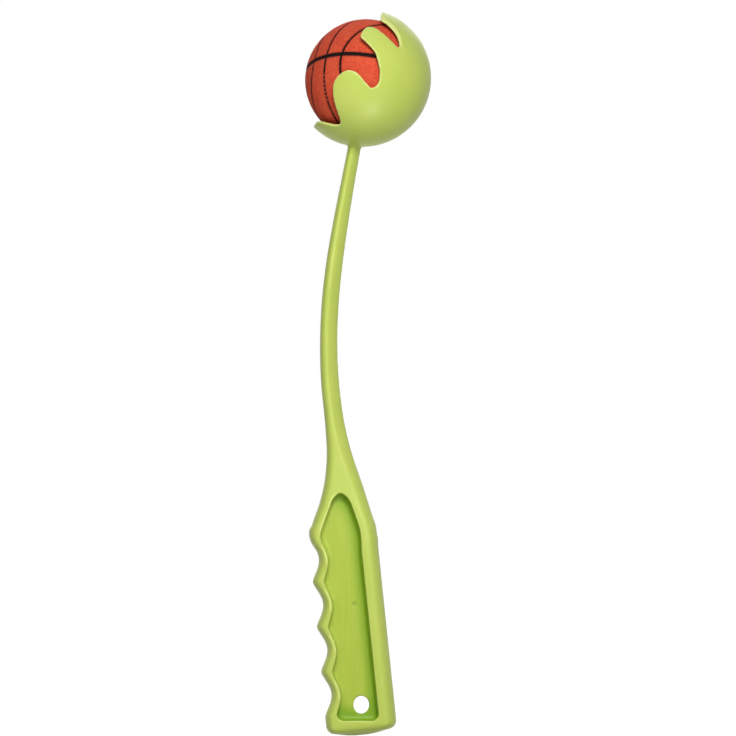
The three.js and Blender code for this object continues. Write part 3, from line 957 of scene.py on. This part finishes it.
def make_ball():
    """The ball's core halves, cover panels and the black ribs that stand in the seams."""
    equator = Vector((math.sin(EQUATOR_LEAN), 0, math.cos(EQUATOR_LEAN)))
    inner = BALL_RADIUS - COVER_THICKNESS
    core = inner - GLUE_CLEARANCE
    origin = Vector((0, 0, 0))
    shell = sphere("shell", BALL_RADIUS, origin)
    cut(shell, sphere("inside", inner, origin, INNER_SEGMENTS))
    ribs = sphere("seam_ribs", BALL_RADIUS - SEAM_DEPTH, origin)
    cut(ribs, sphere("inside", core + RIB_CLEARANCE, origin, INNER_SEGMENTS))
    core_shell = sphere("core", core, origin, INNER_SEGMENTS)
    cut(core_shell, sphere("inside", core - CORE_WALL, origin, CORE_SEGMENTS))
    covers = {}
    cores = {}
    for row_name, row in (("upper", 1), ("lower", -1)):
        half = copy_of(core_shell, f"core_half_{row_name}")
        intersect(half, half_space(equator * row, CORE_JOINT_CLEARANCE / 2))
        finish_rubber(half)
        cores[f"ball_core_{row_name}"] = half
        for side_name, side in (("right", 1), ("left", -1)):
            band = copy_of(shell, f"panel_band_{side_name}_{row_name}")
            intersect(
                band,
                half_space(equator * row, WIDE_SEAM / 2),
                half_space(Vector((side, 0, 0)), FINE_SEAM / 2),
            )
            cut(band, oval_cone(side, -FINE_SEAM / 2))
            oval = copy_of(shell, f"panel_oval_{side_name}_{row_name}")
            intersect(
                oval,
                half_space(equator * row, WIDE_SEAM / 2),
                oval_cone(side, FINE_SEAM / 2),
            )
            for kind, panel in (("band", band), ("oval", oval)):
                cut(ribs, copy_of(panel, "panel_space"))
                soften(panel, COVER_LATTICE, COVER_SMOOTHING)
                note_seam(panel)
                place_on_ball(panel)
                covers[f"cover_{kind}_{side_name}_{row_name}"] = panel
    drop(shell)
    drop(core_shell)
    finish_rubber(ribs)
    return cores, covers, ribs


def new_material(name):
    """Empty node material with its shader."""
    material = bpy.data.materials.new(name)
    material.use_nodes = True
    return material, material.node_tree.nodes["Principled BSDF"]


class Nodes:
    """Short calls for the nodes of one material or of the surround."""

    def __init__(self, tree):
        self.tree = tree
        self.place = tree.nodes.new("ShaderNodeTexCoord").outputs["Object"]

    def link(self, output, target):
        self.tree.links.new(output, target)

    def noise(self, scale, detail=3, roughness=0.5, rise=1.0):
        node = self.tree.nodes.new("ShaderNodeTexNoise")
        node.inputs["Scale"].default_value = scale
        node.inputs["Detail"].default_value = detail
        node.inputs["Roughness"].default_value = roughness
        stretch = self.tree.nodes.new("ShaderNodeMapping")
        stretch.inputs["Scale"].default_value = (1, 1, rise)
        self.link(self.place, stretch.inputs["Vector"])
        self.link(stretch.outputs["Vector"], node.inputs["Vector"])
        return node.outputs["Fac"]

    def attribute(self, name):
        node = self.tree.nodes.new("ShaderNodeAttribute")
        node.attribute_name = name
        return node.outputs["Fac"]

    def math(self, operation, first, second=0.0):
        node = self.tree.nodes.new("ShaderNodeMath")
        node.operation = operation
        for socket, value in zip(node.inputs, (first, second)):
            if isinstance(value, (int, float)):
                socket.default_value = value
            else:
                self.link(value, socket)
        return node.outputs["Value"]

    def ramp(self, value, low, high, start=0.0, end=1.0):
        node = self.tree.nodes.new("ShaderNodeMapRange")
        node.interpolation_type = "SMOOTHSTEP"
        self.link(value, node.inputs["Value"])
        node.inputs["From Min"].default_value = low
        node.inputs["From Max"].default_value = high
        node.inputs["To Min"].default_value = start
        node.inputs["To Max"].default_value = end
        return node.outputs["Result"]

    def blend(self, factor, first, second):
        node = self.tree.nodes.new("ShaderNodeMix")
        node.data_type = "RGBA"
        self.link(factor, node.inputs["Factor"])
        for socket, value in ((node.inputs[6], first), (node.inputs[7], second)):
            if isinstance(value, tuple):
                socket.default_value = (*value, 1)
            else:
                self.link(value, socket)
        return node.outputs[2]

    def seen(self):
        """1 for what the lens sees straight, in a reflection or through glass, and 0 for light."""
        rays = self.tree.nodes.new("ShaderNodeLightPath").outputs
        straight = self.math("MAXIMUM", rays["Is Camera Ray"], rays["Is Glossy Ray"])
        return self.math("MAXIMUM", straight, rays["Is Transmission Ray"])

    def mottle(self, noise, colours):
        """Soft patches of a pair of colours."""
        return self.blend(self.ramp(noise, low=0.3, high=0.7), *colours)

    def bump(self, height, distance, strength, normal=None):
        node = self.tree.nodes.new("ShaderNodeBump")
        node.inputs["Strength"].default_value = strength
        node.inputs["Distance"].default_value = distance
        self.link(height, node.inputs["Height"])
        if normal is not None:
            self.link(normal, node.inputs["Normal"])
        return node.outputs["Normal"]


def green_plastic():
    """Satin lime-green plastic: faint flow marks, painted highlights on the edges and painted shade
    in the pockets.
    """
    material, shader = new_material("green_plastic")
    nodes = Nodes(material.node_tree)
    wall = nodes.attribute("wall")
    base = nodes.mottle(nodes.noise(scale=38), PLASTIC)
    # Painted shade: the pocket floors are darker, standing in for the shade of their rims
    shaded_streaks = nodes.mottle(nodes.noise(scale=420, roughness=0.6, rise=0.06), POCKET_PLASTIC_PAINTED_SHADE)
    base = nodes.blend(nodes.ramp(wall, low=0.2, high=1.6, end=0.85), base, shaded_streaks)
    # Painted shade: deeper green where pocket walls stand close, in the corners and under the arch
    enclosed = nodes.ramp(nodes.attribute("enclosed"), low=3, high=15, end=0.85)
    base = nodes.blend(enclosed, base, PAINTED_POCKET_SHADE)
    # Painted shade: deeper green on the steep palm-side and top walls, which face away from the light
    inside = nodes.ramp(wall, low=0.0, high=0.3)
    steep = nodes.math("MULTIPLY", nodes.attribute("steep"), inside)
    base = nodes.blend(nodes.ramp(steep, low=0.35, high=0.95, end=0.5), base, PAINTED_POCKET_SHADE)
    # Painted highlight: paler colour on sharply rounded edges, kept off the middle of the pocket
    # floors
    off_web = nodes.ramp(wall, low=2.5, high=1.5)
    bend = nodes.ramp(nodes.attribute("bend"), low=0.03, high=0.08)
    base = nodes.blend(nodes.math("MULTIPLY", bend, off_web), base, ROUNDED_EDGE_HIGHLIGHT)
    mark = nodes.ramp(nodes.attribute("mark"), low=-0.3, high=0.5, end=0.5)
    base = nodes.blend(mark, base, MARK)
    # Painted highlight: paler colour across the cut edges of the fingers
    rim = nodes.ramp(nodes.attribute("rim"), low=0.03, high=0.24)
    nodes.link(nodes.blend(rim, base, CUT_EDGE_HIGHLIGHT), shader.inputs["Base Color"])
    skin = nodes.bump(nodes.noise(scale=420, detail=2), distance=0.00005, strength=0.5)
    fine = nodes.noise(scale=2200, detail=2)
    skin = nodes.bump(fine, distance=0.00003, strength=0.4, normal=skin)
    nodes.link(skin, shader.inputs["Normal"])
    polish = nodes.ramp(nodes.noise(scale=90, detail=4), low=0.3, high=0.7, start=0.35, end=0.42)
    nodes.link(polish, shader.inputs["Roughness"])
    shader.inputs["Specular IOR Level"].default_value = 0.22
    return material


def ball_cover():
    """Close-napped red-orange cover with a fine grain, inked black beside the seams."""
    material, shader = new_material("ball_cover")
    nodes = Nodes(material.node_tree)
    grain = nodes.noise(scale=950, detail=5, roughness=0.65)
    base = nodes.blend(nodes.ramp(grain, low=0.34, high=0.66), *COVER)
    patch = nodes.ramp(nodes.noise(scale=130), low=0.35, high=0.7)
    base = nodes.blend(nodes.math("MULTIPLY", patch, 0.35), base, COVER_PATCH)
    waver = nodes.math("MULTIPLY", nodes.noise(scale=600, detail=2), -0.3)
    seam = nodes.math("ADD", nodes.attribute("seam"), waver)
    base = nodes.blend(nodes.ramp(seam, low=1.1, high=0.1, end=0.55), base, COVER_BY_SEAM)
    base = nodes.blend(nodes.ramp(seam, low=0.05, high=-0.05), base, INK)
    nodes.link(base, shader.inputs["Base Color"])
    nodes.link(nodes.bump(grain, distance=0.00035, strength=0.7), shader.inputs["Normal"])
    shader.inputs["Roughness"].default_value = 0.85
    shader.inputs["Specular IOR Level"].default_value = 0.2
    return material


def grained(name, scale, colours, bumps, roughness, specular):
    """Matt material with one fine grain in its colour and its surface."""
    material, shader = new_material(name)
    nodes = Nodes(material.node_tree)
    grain = nodes.noise(scale)
    nodes.link(nodes.mottle(grain, colours), shader.inputs["Base Color"])
    nodes.link(nodes.bump(grain, distance=0.0001, strength=bumps), shader.inputs["Normal"])
    shader.inputs["Roughness"].default_value = roughness
    shader.inputs["Specular IOR Level"].default_value = specular
    return material


def dress(piece, material, body, slot, *nodes):
    """Give a piece its material and body, and let it stand for its solids; its slot is not used."""
    piece.data.materials.clear()
    piece.data.materials.append(material)
    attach(piece, body)
    if nodes:
        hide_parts(*nodes)


def make_camera():
    """Long lens square to the thrower's side, framed as the photograph is."""
    data = bpy.data.cameras.new("camera")
    data.sensor_width = SENSOR_WIDTH
    data.lens = SENSOR_WIDTH * LENS_DISTANCE / (PICTURE_SIDE / PIXELS_PER_MM * MM)
    data.clip_end = CLIP_END
    camera = bpy.data.objects.new("camera", data)
    across = (PICTURE_SIDE / 2 - ORIGIN_ACROSS) / PIXELS_PER_MM * MM
    height = (ORIGIN_DOWN - PICTURE_SIDE / 2) / PIXELS_PER_MM * MM
    camera.location = (across, -LENS_DISTANCE, height)
    camera.rotation_euler = (math.pi / 2, 0, 0)
    bpy.context.scene.collection.objects.link(camera)
    bpy.context.scene.camera = camera


def add_light(name, data, place, towards):
    """Light with given settings at a place, shining away from a direction."""
    light = bpy.data.objects.new(name, data)
    light.location = place
    light.rotation_euler = towards.to_track_quat("Z", "Y").to_euler()
    bpy.context.scene.collection.objects.link(light)
    return light


def make_lamp(name, level, softness, azimuth, elevation):
    """Soft distant lamp; azimuth 0 is the camera's side and 90 is the right."""
    data = bpy.data.lights.new(name, "SUN")
    data.energy = level * math.pi
    data.angle = math.radians(softness)
    turn, rise = math.radians(azimuth), math.radians(elevation)
    flat = math.cos(rise)
    towards = Vector((math.sin(turn) * flat, -math.cos(turn) * flat, math.sin(rise)))
    add_light(name, data, towards, towards)


def make_panel(name, power, size, place, target, sheen_only=False):
    """Square studio panel turned towards a target; one for sheen only adds no light of its own."""
    data = bpy.data.lights.new(name, "AREA")
    data.energy = power
    data.size = size
    panel = add_light(name, data, place, Vector(place) - Vector(target))
    panel.visible_camera = False
    panel.visible_diffuse = not sheen_only


def make_floor():
    """Pale floor just under the butt, which keeps the thrower's shadow."""
    top = cad_bounds[0][2] - FLOOR_GAP
    floor = block("floor", 1, Matrix.Identity(3), Vector((0, 0, 0)))
    floor.data.transform(Matrix.Diagonal((FLOOR_SIDE, FLOOR_SIDE, FLOOR_THICKNESS, 1)))
    floor.data.transform(Matrix.Translation((0, 0, top - FLOOR_THICKNESS / 2)))
    material, shader = new_material("floor_paint")
    shader.inputs["Base Color"].default_value = FLOOR_GREY
    shader.inputs["Roughness"].default_value = 0.9
    shader.inputs["Specular IOR Level"].default_value = 0.0
    nodes = Nodes(material.node_tree)
    glow = nodes.math("MULTIPLY", nodes.seen(), FLOOR_GLOW)
    nodes.link(glow, shader.inputs["Emission Strength"])
    shader.inputs["Emission Color"].default_value = WHITE
    floor.data.materials.append(material)


def make_surround():
    """White surround that gives little light itself."""
    world = bpy.data.worlds.new("surround")
    bpy.context.scene.world = world
    world.use_nodes = True
    nodes = Nodes(world.node_tree)
    background = world.node_tree.nodes["Background"]
    glow = nodes.math("MULTIPLY", nodes.seen(), SURROUND_GLOW)
    strength = nodes.math("ADD", glow, SURROUND_LIGHT)
    background.inputs["Color"].default_value = WHITE
    nodes.link(strength, background.inputs["Strength"])


def make_lights():
    """Soft lamp behind, a high panel in front, two low ones and two for the cup's sheen."""
    make_lamp("back", level=0.26, softness=60, azimuth=180, elevation=30)
    make_panel("key_panel", 16.8, 0.5, (0.10, -1.25, 0.88), (0, 0, 0.15))
    make_panel("low_panel", 0.3, 0.12, (0.265, -0.42, -0.01), (0, 0, 0.2))
    make_panel("fill_panel", 0.17, 0.12, (-0.265, -0.42, 0.02), (0, 0, 0.2))
    make_panel("low_sheen", 0.24, 0.09, (0.065, -0.155, 0.085), (0.01, -0.03, 0.26), sheen_only=True)
    make_panel("top_sheen", 1.5, 0.4, (0.0, -0.15, 0.95), (0, 0, 0.3), sheen_only=True)


make_camera()
make_floor()
make_surround()
make_lights()
thrower = make_thrower()
dress(thrower, green_plastic(), "thrower_body", "green_plastic", "thrower")
cores, covers, ribs = make_ball()
rubber = grained("core_rubber", 700, RUBBER, bumps=0.5, roughness=0.75, specular=0.06)
dress(ribs, rubber, "ball", "core_rubber")
for node, piece in cores.items():
    dress(piece, rubber, "ball", "core_rubber", node)
cloth = ball_cover()
for node, piece in covers.items():
    dress(piece, cloth, "ball", "ball_cover", node)
thread = grained("stitch_thread", 2500, THREAD, bumps=0.6, roughness=0.8, specular=0.5)
dress(make_stitches(), thread, "ball", "ball_cover")

bpy.context.scene.view_settings.view_transform = "Standard"
